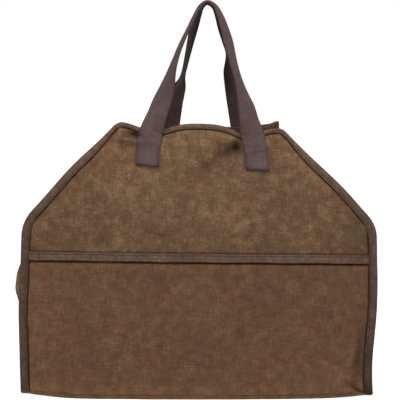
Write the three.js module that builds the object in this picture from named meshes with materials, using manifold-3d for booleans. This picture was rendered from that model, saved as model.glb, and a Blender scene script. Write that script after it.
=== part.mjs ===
// Canvas log carrier: a firewood tote of waxed canvas that stands open on its flat bottom.
// Millimetres, +Z up, the front faces -Y, the origin lies on the floor under the middle of the body.
import * as THREE from "three";
import { mergeVertices } from "three/addons/utils/BufferGeometryUtils.js";
import Module from "manifold-3d";

// Body, measured on the cut edges of the canvas
const panelWidth = 478;
const panelHeight = 362;
const shoulderHeight = 231;
const topWidth = 224;
const shoulderRound = 20;
const cornerRound = 9;
const baseDepth = 216;
const mouthDepth = 50;
const faceBow = 12;
const slump = 12;
const endHeight = 188;
const endBulge = 29;
const seamHeight = 184;
const bandHeight = 13;
const lipHeight = 6.5;

// Cloth, tape and webbing
const canvasThickness = 1.6;
const tapeWidth = 12;
const tapeThickness = 0.8;
const bandThickness = 1.5;
const webbingWidth = 32;
const webbingThickness = 2.2;
const clearance = 0.35;
const seamMargin = 1.5;
const lipChamfer = 1.1;
const seamStep = 0.12;

// Handles: their legs cross the top edge this far apart and meet side by side over the mouth
const frontHandleSpread = 137;
const backHandleSpread = 106;
const frontHandleShift = 2.5;
const backHandleShift = 7;
const patchDrop = 54;
const handleRise = 166;
const apexShift = 10;
const handleGap = 2;

// Lean of both faces: shares of the way from the mouth's depth to the base's, and of the bow
const lean = [
  { height: 0.0, depth: 1.0, bow: 1.0 },
  { height: 0.1, depth: 1.02, bow: 1.0 },
  { height: 0.25, depth: 0.965, bow: 0.85 },
  { height: 0.5, depth: 0.71, bow: 0.5 },
  { height: 0.75, depth: 0.36, bow: 0.25 },
  { height: 1.0, depth: 0.0, bow: 0.3 },
];

// Slumps and folds. Centre: shares of half the width and of the height. Reach: shares of the
// height along and across the direction. Moves sideways, up and out: shares of the slump.
const frontDrape = [
  { x: -0.26, z: 1.0, long: 0.077, wide: 0.14, turn: 0, side: 0, lift: -0.92, out: 0 },
  { x: 0.27, z: 1.0, long: 0.07, wide: 0.14, turn: 0, side: 0, lift: -0.98, out: 0 },
  { x: 0.6, z: 0.97, long: 0.3, wide: 0.2, turn: 0, side: 0, lift: -0.64, out: 0.1 },
  { x: 0.95, z: 0.67, long: 0.09, wide: 0.1, turn: 0, side: 0, lift: -0.32, out: 0 },
  { x: -0.73, z: 0.83, long: 0.14, wide: 0.14, turn: 0, side: -0.1, lift: 0.32, out: 0 },
  { x: -0.46, z: 1.0, long: 0.05, wide: 0.1, turn: 0, side: 0, lift: 0.14, out: 0 },
  { x: 1.0, z: 0.55, long: 0.2, wide: 0.2, turn: 0, side: -0.2, lift: 0, out: 0 },
  { x: 1.0, z: 0.08, long: 0.25, wide: 0.23, turn: 0, side: -1.0, lift: 0, out: 0 },
  { x: -1.0, z: 0.0, long: 0.116, wide: 0.17, turn: 0, side: 0.1, lift: 0.5, out: 0 },
  { x: 1.0, z: 0.0, long: 0.116, wide: 0.17, turn: 0, side: 0.1, lift: 0.25, out: 0 },
  { x: 0.1, z: 0.86, long: 0.2, wide: 0.09, turn: 28, side: 0, lift: 0, out: -0.35 },
  { x: -0.32, z: 0.7, long: 0.22, wide: 0.11, turn: -40, side: 0, lift: 0, out: 0.25 },
  { x: 0.58, z: 0.26, long: 0.3, wide: 0.1, turn: -35, side: 0, lift: 0, out: -0.35 },
  { x: -0.5, z: 0.22, long: 0.28, wide: 0.11, turn: 20, side: 0, lift: 0, out: 0.25 },
];
const backDrape = [
  { x: -0.25, z: 1.0, long: 0.38, wide: 0.28, turn: 0, side: 0, lift: -0.75, out: 0 },
  { x: 0.42, z: 1.0, long: 0.07, wide: 0.12, turn: 0, side: -0.2, lift: 0.05, out: 0 },
  { x: 0.47, z: 1.0, long: 0.03, wide: 0.03, turn: 0, side: 0, lift: 0.35, out: 0 },
  { x: 0.66, z: 0.82, long: 0.2, wide: 0.08, turn: -45, side: -0.35, lift: -0.45, out: 0 },
  { x: -0.19, z: 1.0, long: 0.08, wide: 0.14, turn: 0, side: 0, lift: -0.3, out: 0 },
  { x: 0.25, z: 1.0, long: 0.08, wide: 0.14, turn: 0, side: 0, lift: -0.3, out: 0 },
  { x: -1.0, z: 0.0, long: 0.116, wide: 0.17, turn: 0, side: 0, lift: 0.3, out: 0 },
  { x: 1.0, z: 0.0, long: 0.116, wide: 0.17, turn: 0, side: -0.3, lift: 0.3, out: 0 },
  { x: 0.3, z: 0.68, long: 0.25, wide: 0.11, turn: 30, side: 0, lift: 0, out: -0.3 },
  { x: -0.4, z: 0.28, long: 0.3, wide: 0.11, turn: -25, side: 0, lift: 0, out: 0.3 },
];

// Swelling of the end panels: how far back it peaks (as a power), its height, reach and share
const leftSwell = { skew: 0.66, z: 0.395, tall: 0.16, share: 1 };
const rightSwell = { skew: 1.5, z: 0.38, tall: 0.17, share: 0.86 };

// Handle legs from the top edge up to the top of the loop. Rise: share of the leg's height.
// Spread: share of the way out from the top of the loop. Turn: degrees out of the face's plane.
const frontLeftLeg = [
  { rise: 0.1, spread: 0.925, turn: 26 },
  { rise: 0.22, spread: 0.825, turn: 34 },
  { rise: 0.34, spread: 0.728, turn: 50 },
  { rise: 0.45, spread: 0.66, turn: 67 },
  { rise: 0.56, spread: 0.58, turn: 76 },
  { rise: 0.68, spread: 0.47, turn: 80 },
  { rise: 0.8, spread: 0.335, turn: 84 },
  { rise: 0.9, spread: 0.222, turn: 86 },
  { rise: 0.97, spread: 0.122, turn: 88 },
];
const frontRightLeg = [
  { rise: 0.1, spread: 0.945, turn: 32 },
  { rise: 0.2, spread: 0.885, turn: 43 },
  { rise: 0.3, spread: 0.805, turn: 60 },
  { rise: 0.4, spread: 0.72, turn: 70 },
  { rise: 0.5, spread: 0.635, turn: 72 },
  { rise: 0.6, spread: 0.56, turn: 70 },
  { rise: 0.7, spread: 0.485, turn: 66 },
  { rise: 0.8, spread: 0.405, turn: 70 },
  { rise: 0.9, spread: 0.3, turn: 75 },
  { rise: 0.97, spread: 0.18, turn: 82 },
];
const backLeftLeg = [
  { rise: 0.1, spread: 0.935, turn: 21 },
  { rise: 0.2, spread: 0.87, turn: 36 },
  { rise: 0.28, spread: 0.79, turn: 56 },
  { rise: 0.34, spread: 0.725, turn: 63 },
  { rise: 0.41, spread: 0.66, turn: 71 },
  { rise: 0.5, spread: 0.585, turn: 76 },
  { rise: 0.68, spread: 0.445, turn: 74 },
  { rise: 0.8, spread: 0.35, turn: 72 },
  { rise: 0.9, spread: 0.24, turn: 78 },
  { rise: 0.97, spread: 0.125, turn: 88 },
];
const backRightLeg = [
  { rise: 0.1, spread: 0.925, turn: 20 },
  { rise: 0.22, spread: 0.84, turn: 30 },
  { rise: 0.34, spread: 0.75, turn: 41 },
  { rise: 0.45, spread: 0.675, turn: 49 },
  { rise: 0.56, spread: 0.63, turn: 66 },
  { rise: 0.68, spread: 0.555, turn: 72 },
  { rise: 0.8, spread: 0.44, turn: 72 },
  { rise: 0.9, spread: 0.32, turn: 79 },
  { rise: 0.97, spread: 0.18, turn: 88 },
];

// Mesh steps
const panelColumns = 22;
const lowerRows = 8;
const edgeSteps = [3, 3, 6, 3, 11];
const bottomRows = 4;
const endWallSteps = 12;
const baseBindingSteps = 8;
const patchSteps = 4;
const legSubsteps = 2;

// Values worked out from the sizes
const halfWidth = panelWidth / 2;
const halfCanvas = canvasThickness / 2;
const floorEdge = canvasThickness + clearance;
const flangeDepth = canvasThickness + clearance;
const tapeInside = halfCanvas + clearance;
const tapeOutside = tapeInside + tapeThickness;
const tapeReach = clearance + tapeThickness;
const seamInset = tapeWidth + seamMargin + halfCanvas;
const wallX = halfWidth - seamInset;

const front = {
  sign: -1,
  drape: frontDrape,
  spread: frontHandleSpread,
  shift: frontHandleShift,
  legs: [frontLeftLeg, frontRightLeg],
  splay: [0.18, 0.22],
};
const back = {
  sign: 1,
  drape: backDrape,
  spread: backHandleSpread,
  shift: backHandleShift,
  legs: [backLeftLeg, backRightLeg],
  splay: [0.1, 0.12],
};
const ends = {
  left: { sign: -1, swell: leftSwell },
  right: { sign: 1, swell: rightSwell },
};

const material = (color, roughness) =>
  new THREE.MeshStandardMaterial({ color, roughness, metalness: 0 });
const canvas = () => material(0x5a4029, 0.82);
const tape = () => material(0x3b2d24, 0.85);
const webbing = () => material(0x4a3836, 0.9);

const step = (i, count) => i / count;
const mix = THREE.MathUtils.lerp;

// Heights of the rows below the seam, shared by all that lies on a face there, and of the rows
// of the end panels, which are straight where the tape covers them.
const lowerHeights = Array.from({ length: lowerRows + 1 }, (_, j) =>
  mix(floorEdge, seamHeight, step(j, lowerRows)),
);
const endHeights = [
  ...lowerHeights.filter((z) => z < endHeight - tapeWidth - clearance),
  endHeight - tapeWidth,
  endHeight,
];

// A smooth curve through the rows of a table: the value of one column at a place on another.
function along(rows, from, to, at) {
  const last = rows.length - 1;
  const slope = (i) => {
    const low = rows[Math.max(i - 1, 0)];
    const high = rows[Math.min(i + 1, last)];
    return (high[to] - low[to]) / (high[from] - low[from]);
  };
  const place = THREE.MathUtils.clamp(at, rows[0][from], rows[last][from]);
  const i = Math.max(rows.findIndex((row) => row[from] >= place) - 1, 0);
  const span = rows[i + 1][from] - rows[i][from];
  const t = (place - rows[i][from]) / span;
  const start = (1 + 2 * t) * (1 - t) ** 2 * rows[i][to] + t * (1 - t) ** 2 * span * slope(i);
  const end = t * t * (3 - 2 * t) * rows[i + 1][to] + t * t * (t - 1) * span * slope(i + 1);
  return start + end;
}

// One rounded hill of a drape table: 1 at its centre, fading along and across its direction.
function hill(row, x, z) {
  const turn = THREE.MathUtils.degToRad(row.turn);
  const dx = (x - row.x * halfWidth) / panelHeight;
  const dz = (z - row.z * panelHeight) / panelHeight;
  const lengthwise = (dx * Math.cos(turn) + dz * Math.sin(turn)) / row.long;
  const crosswise = (dz * Math.cos(turn) - dx * Math.sin(turn)) / row.wide;
  return Math.exp(-(lengthwise ** 2) - crosswise ** 2);
}

// A point of the front or back face as it hangs. x and z are where it lies on the flat pattern,
// out is how far it stands outside the middle of the cloth.
function onFace(face, x, z, out) {
  const move = (column) =>
    slump * face.drape.reduce((sum, row) => sum + row[column] * hill(row, x, z), 0);
  const height = z / panelHeight;
  const depth = mix(mouthDepth, baseDepth, along(lean, "height", "depth", height)) / 2;
  const bow = faceBow * along(lean, "height", "bow", height) * (1 - (x / halfWidth) ** 2);
  return new THREE.Vector3(
    x + move("side"),
    face.sign * (depth + bow + out + move("out")),
    z + move("lift"),
  );
}

// A point on the straight line from the front face to the back face.
function between(x, z, out, share) {
  return onFace(front, x, z, out).lerp(onFace(back, x, z, out), share);
}

// A closed solid of cloth: a grid of points on its outer side and one on its inner side,
// joined round the four edges. point(i, j, inner) gives each place, and each square of four
// points is split along its shorter diagonal.
function clothSolid(columns, rows, point) {
  const positions = [];
  for (const inner of [0, 1]) {
    for (let i = 0; i <= columns; i++) {
      for (let j = 0; j <= rows; j++) positions.push(...point(i, j, inner).toArray());
    }
  }
  const perSide = (columns + 1) * (rows + 1);
  const at = (i, j, inner) => inner * perSide + i * (rows + 1) + j;
  const index = [];
  const corner = (k) => new THREE.Vector3().fromArray(positions, 3 * k);
  const quad = (a, b, c, d) => {
    const firstIsShorter = corner(a).distanceTo(corner(c)) <= corner(b).distanceTo(corner(d));
    index.push(...(firstIsShorter ? [a, b, c, a, c, d] : [a, b, d, b, c, d]));
  };
  for (let i = 0; i < columns; i++) {
    for (let j = 0; j < rows; j++) {
      quad(at(i, j, 0), at(i + 1, j, 0), at(i + 1, j + 1, 0), at(i, j + 1, 0));
      quad(at(i, j, 1), at(i, j + 1, 1), at(i + 1, j + 1, 1), at(i + 1, j, 1));
    }
    quad(at(i, 0, 0), at(i, 0, 1), at(i + 1, 0, 1), at(i + 1, 0, 0));
    quad(at(i, rows, 0), at(i + 1, rows, 0), at(i + 1, rows, 1), at(i, rows, 1));
  }
  for (let j = 0; j < rows; j++) {
    quad(at(0, j, 0), at(0, j + 1, 0), at(0, j + 1, 1), at(0, j, 1));
    quad(at(columns, j, 0), at(columns, j, 1), at(columns, j + 1, 1), at(columns, j + 1, 0));
  }
  const geometry = new THREE.BufferGeometry();
  geometry.setAttribute("position", new THREE.Float32BufferAttribute(positions, 3));
  geometry.setIndex(signedVolume(positions, index) < 0 ? index.reverse() : index);
  geometry.computeVertexNormals();
  return geometry;
}

// Volume enclosed by a triangle mesh, negative where its faces point inwards.
function signedVolume(positions, index) {
  const corner = (k) => new THREE.Vector3().fromArray(positions, 3 * index[k]);
  let volume = 0;
  for (let k = 0; k < index.length; k += 3) {
    volume += corner(k).dot(corner(k + 1).cross(corner(k + 2))) / 6;
  }
  return volume;
}

// Two closed solids that overlap, joined into one.
const wasm = await Module();
wasm.setup();
function joined(first, second) {
  const solids = [first, second].map((geometry) => {
    const bare = geometry.clone().deleteAttribute("normal");
    const merged = mergeVertices(bare, 1e-4);
    return new wasm.Manifold(
      new wasm.Mesh({
        numProp: 3,
        vertProperties: merged.attributes.position.array,
        triVerts: new Uint32Array(merged.index.array),
      }),
    );
  });
  const mesh = solids[0].add(solids[1]).getMesh();
  const geometry = new THREE.BufferGeometry();
  geometry.setAttribute("position", new THREE.BufferAttribute(mesh.vertProperties, 3));
  geometry.setIndex(new THREE.BufferAttribute(mesh.triVerts, 1));
  geometry.computeVertexNormals();
  return geometry;
}

// Half of a panel's edge on the flat pattern, set in from the cut edge: up the side, round the
// shoulder, up the slant, round the top corner and in to the middle of the top edge.
function edgeLine(inset, low) {
  const slant = new THREE.Vector2(topWidth / 2 - halfWidth, panelHeight - shoulderHeight).normalize();
  const start = new THREE.Vector2(halfWidth - slant.y * inset, shoulderHeight + slant.x * inset);
  const atSide = (halfWidth - inset - start.x) / slant.x;
  const atTop = (panelHeight - inset - start.y) / slant.y;
  const shoulder = start.clone().addScaledVector(slant, atSide);
  const corner = start.clone().addScaledVector(slant, atTop);
  const beforeCorner = corner.clone().addScaledVector(slant, -cornerRound);
  const afterShoulder = shoulder.clone().addScaledVector(slant, shoulderRound);
  const path = new THREE.Path();
  path.moveTo(shoulder.x, seamHeight);
  path.lineTo(shoulder.x, shoulder.y - shoulderRound);
  path.quadraticCurveTo(shoulder.x, shoulder.y, afterShoulder.x, afterShoulder.y);
  path.lineTo(beforeCorner.x, beforeCorner.y);
  path.quadraticCurveTo(corner.x, corner.y, corner.x - cornerRound, corner.y);
  path.lineTo(0, corner.y);
  const side = lowerHeights.map((z) => new THREE.Vector2(shoulder.x, Math.max(z, low)));
  return [...side, ...path.curves.flatMap((curve, k) => curve.getPoints(edgeSteps[k]).slice(1))];
}

// Columns across a panel: the first and the last are as wide as the tape, the others alike.
function columnX(i, edge) {
  if (i === 0 || i === panelColumns) return i ? edge : -edge;
  return (edge - tapeWidth) * mix(-1, 1, step(i - 1, panelColumns - 2));
}

// The panel below the seam: a rectangle between the floor edge and the seam.
function lowerPanel(face) {
  return clothSolid(panelColumns, lowerRows, (i, j, inner) => {
    const x = columnX(i, halfWidth);
    const z = Math.min(lowerHeights[j], seamHeight - clearance / 2);
    return onFace(face, x, z, inner ? -halfCanvas : halfCanvas);
  });
}

// The flap above the seam: each row ends on the panel's edge line.
function upperPanel(face) {
  const low = seamHeight + clearance / 2;
  const rows = edgeLine(0, 0).slice(lowerRows, -edgeSteps.at(-1));
  rows[0].y = low;
  return clothSolid(panelColumns, rows.length - 1, (i, j, inner) => {
    return onFace(face, columnX(i, rows[j].x), rows[j].y, inner ? -halfCanvas : halfCanvas);
  });
}

// The bottom: a flat tray whose long edges turn up as lips outside the front and back panels.
function bottomPanel() {
  const lipInside = halfCanvas + clearance;
  const lipOutside = lipInside + canvasThickness;
  const lip = (face, x, k, inner) => {
    const height = [lipHeight, inner ? canvasThickness : lipChamfer][k];
    return onFace(face, x, height, inner ? lipInside : lipOutside);
  };
  return clothSolid(panelColumns, bottomRows + 4, (i, j, inner) => {
    const x = columnX(i, halfWidth - clearance);
    if (j < 2) return lip(front, x, j, inner);
    if (j > bottomRows + 2) return lip(back, x, bottomRows + 4 - j, inner);
    const out = (inner ? lipInside : lipOutside) - lipChamfer;
    return between(x, inner ? canvasThickness : 0, out, step(j - 2, bottomRows));
  });
}

// The middle line of an end panel at one height, from its front flange's edge to its back one's.
// The wall leaves the flanges square, clears the tape's inner legs and swells outwards between.
function endLine(end, z) {
  const flangeEdge = end.sign * (halfWidth - clearance);
  const wall = end.sign * wallX;
  const { tall, skew, share: most, z: middle } = end.swell;
  const rise = (z / panelHeight - middle) / tall;
  const span = onFace(back, wall, z, -flangeDepth).y - onFace(front, wall, z, -flangeDepth).y;
  const margin = (tapeOutside + 2 * clearance) / span;
  const line = Array.from({ length: endWallSteps + 1 }, (_, k) => {
    const share = step(k, endWallSteps);
    const point = between(wall, z, -flangeDepth, mix(margin, 1 - margin, share));
    const swell = most * Math.exp(-(rise ** 2)) * Math.sin(Math.PI * share ** skew) ** 2;
    point.x += end.sign * endBulge * swell;
    return point;
  });
  return [
    onFace(front, flangeEdge, z, -flangeDepth),
    onFace(front, wall, z, -flangeDepth),
    ...line,
    onFace(back, wall, z, -flangeDepth),
    onFace(back, flangeEdge, z, -flangeDepth),
  ];
}

// A line moved sideways in plan by a distance, mitred at its bends.
function offsetLine(line, distance) {
  const normal = (a, b) => new THREE.Vector2(b.y - a.y, a.x - b.x).normalize();
  return line.map((point, i) => {
    const before = normal(line[Math.max(i - 1, 0)], line[Math.max(i, 1)]);
    const after = normal(line[Math.min(i, line.length - 2)], line[Math.min(i + 1, line.length - 1)]);
    const mitre = before.clone().add(after);
    mitre.multiplyScalar(distance / (1 + before.dot(after)));
    return new THREE.Vector3(point.x + mitre.x, point.y + mitre.y, point.z);
  });
}

// An end panel: a wall with a flange behind each face and one on the bottom, joined into one.
// The seam step keeps the joined solids' faces out of one plane.
function endPanel(end) {
  const sideOf = (inner) => end.sign * (inner ? -halfCanvas : halfCanvas);
  const lines = endHeights.map((z) => endLine(end, z));
  const offsets = [0, 1].map((inner) => lines.map((line) => offsetLine(line, sideOf(inner))));
  const wall = clothSolid(lines[0].length - 1, lines.length - 1, (i, j, inner) => offsets[inner][j][i]);
  const flange = clothSolid(1, baseBindingSteps, (i, j, inner) => {
    const x = end.sign * mix(wallX, halfWidth - clearance - seamStep, i);
    const z = floorEdge + (inner ? seamStep : canvasThickness);
    return between(x, z, -flangeDepth, step(j, baseBindingSteps));
  });
  return joined(wall, flange);
}

// The corner points of a tape folded over an edge: the leg's tip, the two bends, the other tip.
function foldedTape(k, inner, reach, outLeg, inLeg) {
  const grow = inner ? 0 : tapeThickness;
  const across = k === 0 || k === 3 ? reach : -(clearance + grow);
  const height = k < 2 ? outLeg + grow : inLeg - grow;
  return { across, height };
}

// The tape round a face's side, slanted and top edges. Behind the cloth it steps back over the
// flange of the end panel, up to the end panel's top.
function edgeBinding(face) {
  const low = lipHeight + clearance;
  const outer = edgeLine(0, low);
  const tapeLine = edgeLine(tapeWidth, low);
  const last = outer.length - 1;
  return clothSolid(2 * last, 3, (i, j, inner) => {
    const k = Math.min(i, 2 * last - i);
    const sign = i < last ? -1 : 1;
    const lapped = outer[k].y < endHeight + cornerRound;
    const inLeg = -tapeInside - (lapped ? flangeDepth : 0);
    const { across, height } = foldedTape(j, inner, tapeWidth, tapeInside, inLeg);
    const place = outer[k].clone().lerp(tapeLine[k], across / tapeWidth);
    return onFace(face, sign * place.x, place.y, height);
  });
}

// The strip over the seam between the lower panel and the flap.
function seamBand(face) {
  const reach = halfWidth - tapeWidth - clearance;
  return clothSolid(panelColumns, 1, (i, j, inner) => {
    const x = mix(-reach, reach, step(i, panelColumns));
    const z = seamHeight + (j - 0.5) * bandHeight;
    return onFace(face, x, z, tapeInside + (inner ? 0 : bandThickness));
  });
}

// The tape round the bottom's end, over the flange of the end panel.
function baseBinding(end) {
  const stack = canvasThickness + floorEdge + clearance;
  const out = -flangeDepth - halfCanvas - clearance;
  return clothSolid(baseBindingSteps, 3, (i, j, inner) => {
    const { across, height } = foldedTape(j, inner, tapeWidth, stack, -clearance);
    return between(end.sign * (halfWidth - across), height, out, step(i, baseBindingSteps));
  });
}

// The tape over an end panel's top edge.
function endBinding(end) {
  const lines = [endHeight - tapeWidth, endHeight].map((z) => endLine(end, z));
  const count = lines[0].length - 5;
  return clothSolid(count, 3, (i, j, inner) => {
    const tip = j === 0 || j === 3;
    const side = (j < 2 ? 1 : -1) * end.sign * (inner ? tapeInside : tapeOutside);
    const point = offsetLine(lines[tip ? 0 : 1], side)[i + 2];
    if (!tip) point.z += inner ? clearance : tapeReach;
    return point;
  });
}

// A webbing handle: a square patch on each side of the face, legs that turn edge on as they rise,
// and a loop that lies across the mouth at its top.
function handle(face) {
  const onTape = tapeOutside + clearance + webbingThickness / 2;
  const onCanvas = halfCanvas + clearance + webbingThickness / 2;
  const apex = new THREE.Vector3(
    apexShift,
    (face.sign * (webbingWidth + handleGap)) / 2,
    panelHeight + handleRise,
  );
  const sides = [-1, 1].map((sign, k) => {
    const edgeX = face.shift + (sign * face.spread) / 2;
    const foot = onFace(face, edgeX, panelHeight + tapeReach, onTape);
    const controls = face.legs[k].map((row) => ({
      point: new THREE.Vector3(
        mix(apex.x, foot.x, row.spread),
        mix(foot.y, apex.y, row.rise),
        mix(foot.z, apex.z, row.rise),
      ),
      turn: sign < 0 ? row.turn : 180 - row.turn,
    }));
    return { sign, edgeX, endX: edgeX + sign * face.splay[k] * webbingWidth, foot, controls };
  });
  const flat = (side) => ({ point: side.foot, turn: side.sign < 0 ? 0 : 180 });
  const controls = [
    flat(sides[0]),
    ...sides[0].controls,
    { point: apex, turn: 90 },
    ...sides[1].controls.toReversed(),
    flat(sides[1]),
  ];
  const curve = new THREE.CatmullRomCurve3(controls.map((control) => control.point));
  const turns = controls.map((control, k) => ({ k, turn: control.turn }));
  const free = (controls.length - 1) * legSubsteps;
  return clothSolid(free + 2 * patchSteps, 2, (i, j, inner) => {
    const lateral = (j - 1) * (webbingWidth / 2);
    const thick = (inner ? -1 : 1) * (webbingThickness / 2);
    const below = Math.max(patchSteps - i, i - free - patchSteps);
    if (below >= 0) {
      const side = sides[i > patchSteps ? 1 : 0];
      const share = step(below, patchSteps);
      const z = mix(panelHeight + tapeReach, panelHeight - patchDrop, share);
      const x = mix(side.edgeX, side.endX, share);
      const lateralSign = side.sign * face.sign;
      const rest = z > panelHeight - tapeWidth - webbingThickness ? onTape : onCanvas;
      return onFace(face, x + lateralSign * lateral, z, rest + thick);
    }
    const k = (i - patchSteps) / legSubsteps;
    const point = curve.getPoint(k / (controls.length - 1));
    const tangent = curve.getTangent(k / (controls.length - 1));
    const turn = THREE.MathUtils.degToRad(along(turns, "k", "turn", k));
    const width = new THREE.Vector3(-face.sign * Math.cos(turn), -Math.sin(turn), 0);
    width.addScaledVector(tangent, -width.dot(tangent)).normalize();
    const normal = width.clone().cross(tangent);
    return point.addScaledVector(width, lateral).addScaledVector(normal, thick);
  });
}

const carrier = new THREE.Group();
function add(name, geometry, meshMaterial) {
  const mesh = new THREE.Mesh(geometry, meshMaterial);
  mesh.name = name;
  carrier.add(mesh);
}

add("bottom_panel", bottomPanel(), canvas());
for (const [name, face] of Object.entries({ front, back })) {
  add(`${name}_lower_panel`, lowerPanel(face), canvas());
  add(`${name}_upper_panel`, upperPanel(face), canvas());
  add(`${name}_seam_band`, seamBand(face), tape());
  add(`${name}_edge_binding`, edgeBinding(face), tape());
  add(`${name}_handle`, handle(face), webbing());
}
for (const [name, end] of Object.entries(ends)) {
  add(`${name}_end_panel`, endPanel(end), canvas());
  add(`${name}_end_binding`, endBinding(end), tape());
  add(`${name}_base_binding`, baseBinding(end), tape());
}

export default carrier;
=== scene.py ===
# Canvas log carrier: a firewood tote of waxed canvas with bound edges and webbing handles.
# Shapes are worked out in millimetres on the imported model's frame and go into the meshes in metres.
import math

import bpy
import numpy as np
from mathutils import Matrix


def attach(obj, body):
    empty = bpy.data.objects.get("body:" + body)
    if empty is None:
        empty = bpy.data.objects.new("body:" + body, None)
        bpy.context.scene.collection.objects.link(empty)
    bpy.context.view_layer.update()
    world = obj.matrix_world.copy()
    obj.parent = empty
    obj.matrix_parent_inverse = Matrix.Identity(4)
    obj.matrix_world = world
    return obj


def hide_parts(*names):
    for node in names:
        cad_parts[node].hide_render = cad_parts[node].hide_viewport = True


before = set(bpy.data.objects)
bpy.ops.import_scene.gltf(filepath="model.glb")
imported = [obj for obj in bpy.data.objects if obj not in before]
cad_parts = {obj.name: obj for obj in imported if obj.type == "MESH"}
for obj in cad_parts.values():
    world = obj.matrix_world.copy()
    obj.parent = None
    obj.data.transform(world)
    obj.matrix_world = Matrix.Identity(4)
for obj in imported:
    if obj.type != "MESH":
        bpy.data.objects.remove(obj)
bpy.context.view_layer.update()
print("loaded", len(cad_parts), "nodes")


# Camera, light and floor
view = {"distance": 1.862, "elevation": 5.0, "targetHeight": 0.2543, "lens": 120.03}
tilt = math.radians(view["elevation"])
cameraData = bpy.data.cameras.new("camera")
cameraData.lens = view["lens"]
cameraData.sensor_width = 36
camera = bpy.data.objects.new("camera", cameraData)
camera.location = (
    0,
    -view["distance"] * math.cos(tilt),
    view["targetHeight"] + view["distance"] * math.sin(tilt),
)
camera.rotation_euler = (math.pi / 2 - tilt, 0, 0)
bpy.context.collection.objects.link(camera)
bpy.context.scene.camera = camera
bpy.context.scene.view_settings.view_transform = "Standard"

# Softboxes: place and aim in metres, side length in metres, power in watts
softboxes = {
    "overhead": {"place": (0.2, -0.75, 2.2), "aim": (0, 0, 0.2), "side": 1.0, "power": 54},
    "left": {"place": (-2.0, -1.5, 1.2), "aim": (0, 0, 0.25), "side": 0.9, "power": 17},
    "right": {"place": (2.2, -1.0, 1.0), "aim": (0, 0, 0.25), "side": 0.9, "power": 7},
}
studio = {"horizon": 1.0, "zenith": 0.2, "horizonUp": 0.12, "zenithFrom": 0.5,
          "floorSide": 80.0, "floor": 0.3, "floorGlow": 0.93}


def linear(colour):
    # Screen values from 0 to 255 as linear light: below 0.04 a straight line, above it a power
    share = np.asarray(colour, float) / 255
    light = np.where(share <= 0.04045, share / 12.92, ((share + 0.055) / 1.055) ** 2.4)
    return (*light.tolist(), 1.0)


def addSoftboxes():
    for name, box in softboxes.items():
        data = bpy.data.lights.new(name, "AREA")
        data.size = box["side"]
        data.energy = box["power"]
        lamp = bpy.data.objects.new(name, data)
        lamp.location = box["place"]
        aim = [a - b for a, b in zip(box["aim"], box["place"])]
        flat = math.hypot(aim[0], aim[1])
        lamp.rotation_euler = (math.atan2(flat, -aim[2]), 0, math.atan2(-aim[0], aim[1]))
        bpy.context.collection.objects.link(lamp)


def startNodes(owner):
    # Empties the nodes, and gives a function that adds any node and one that adds a sum
    owner.use_nodes = True
    tree = owner.node_tree
    tree.nodes.clear()

    def add(kind, settings, inputs):
        node = tree.nodes.new("ShaderNode" + kind)
        for key, value in settings.items():
            setattr(node, key, value)
        for key, value in inputs.items():
            if isinstance(value, bpy.types.NodeSocket):
                tree.links.new(value, node.inputs[key])
            else:
                node.inputs[key].default_value = value
        return node

    def calc(operation, *values):
        return add("Math", {"operation": operation}, dict(enumerate(values))).outputs[0]

    return add, calc


def startMaterial(name):
    material = bpy.data.materials.new(name)
    return material, *startNodes(material)


def addWorld():
    # White at the horizon, so that the ground runs into it, and darker overhead
    world = bpy.data.worlds.new("studio")
    bpy.context.scene.world = world
    add, calc = startNodes(world)
    direction = add("TexCoord", {}, {}).outputs["Generated"]
    level = add("MapRange", {}, {
        "Value": add("SeparateXYZ", {}, {0: direction}).outputs["Z"],
        "From Min": studio["horizonUp"], "From Max": studio["zenithFrom"],
        "To Min": studio["horizon"], "To Max": studio["zenith"],
    })
    glow = add("Background", {}, {"Color": (1, 1, 1, 1), "Strength": level.outputs[0]})
    add("OutputWorld", {}, {"Surface": glow.outputs[0]})


def addFloor():
    half = studio["floorSide"] / 2
    mesh = bpy.data.meshes.new("floor")
    corners = [(-half, -half, 0), (half, -half, 0), (half, half, 0), (-half, half, 0)]
    mesh.from_pydata(corners, [], [(0, 1, 2, 3)])
    floor = bpy.data.objects.new("floor", mesh)
    bpy.context.collection.objects.link(floor)
    material, add, calc = startMaterial("floor")
    shader = add("BsdfPrincipled", {}, {
        "Base Color": (studio["floor"],) * 3 + (1,), "Roughness": 0.9, "Specular IOR Level": 0.1,
        "Emission Color": (1, 1, 1, 1), "Emission Strength": studio["floorGlow"],
    })
    add("OutputMaterial", {}, {"Surface": shader.outputs[0]})
    mesh.materials.append(material)


addSoftboxes()
addWorld()
addFloor()
print("camera, light and floor are set")


# The carrier's measures in millimetres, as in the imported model
panelWidth, panelHeight = 478, 362
shoulderHeight, topWidth = 231, 224
shoulderRound, cornerRound = 20, 9
baseDepth, mouthDepth = 216, 50
faceBow, slump = 12, 12
endHeight, endBulge = 188, 29
seamHeight, lipHeight = 184, 4.4
stripHeight, stripLift, stripDrop = 11, 0.2, 2.4
canvasThickness, clearance = 1.6, 0.35
tapeWidth, tapeThickness = 12, 0.8
webbingWidth, webbingThickness = 32, 2.2
seamMargin = 1.5
patchDrop, handleRise, apexShift, handleGap = 54, 166, 10, 2

halfWidth = panelWidth / 2
halfCanvas = canvasThickness / 2
floorEdge = canvasThickness + clearance
tapeOutside = halfCanvas + clearance + tapeThickness
tapeReach = clearance + tapeThickness
flangeDepth = floorEdge
wallX = halfWidth - tapeWidth - seamMargin - halfCanvas

# Lean of both faces: height share, share of the way from the mouth's depth to the base's
leanDepth = [(0, 1), (0.1, 1.02), (0.25, 0.965), (0.5, 0.71), (0.75, 0.36), (1, 0)]
leanBow = [(0, 1), (0.1, 1), (0.25, 0.85), (0.5, 0.5), (0.75, 0.25), (1, 0.3)]

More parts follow.
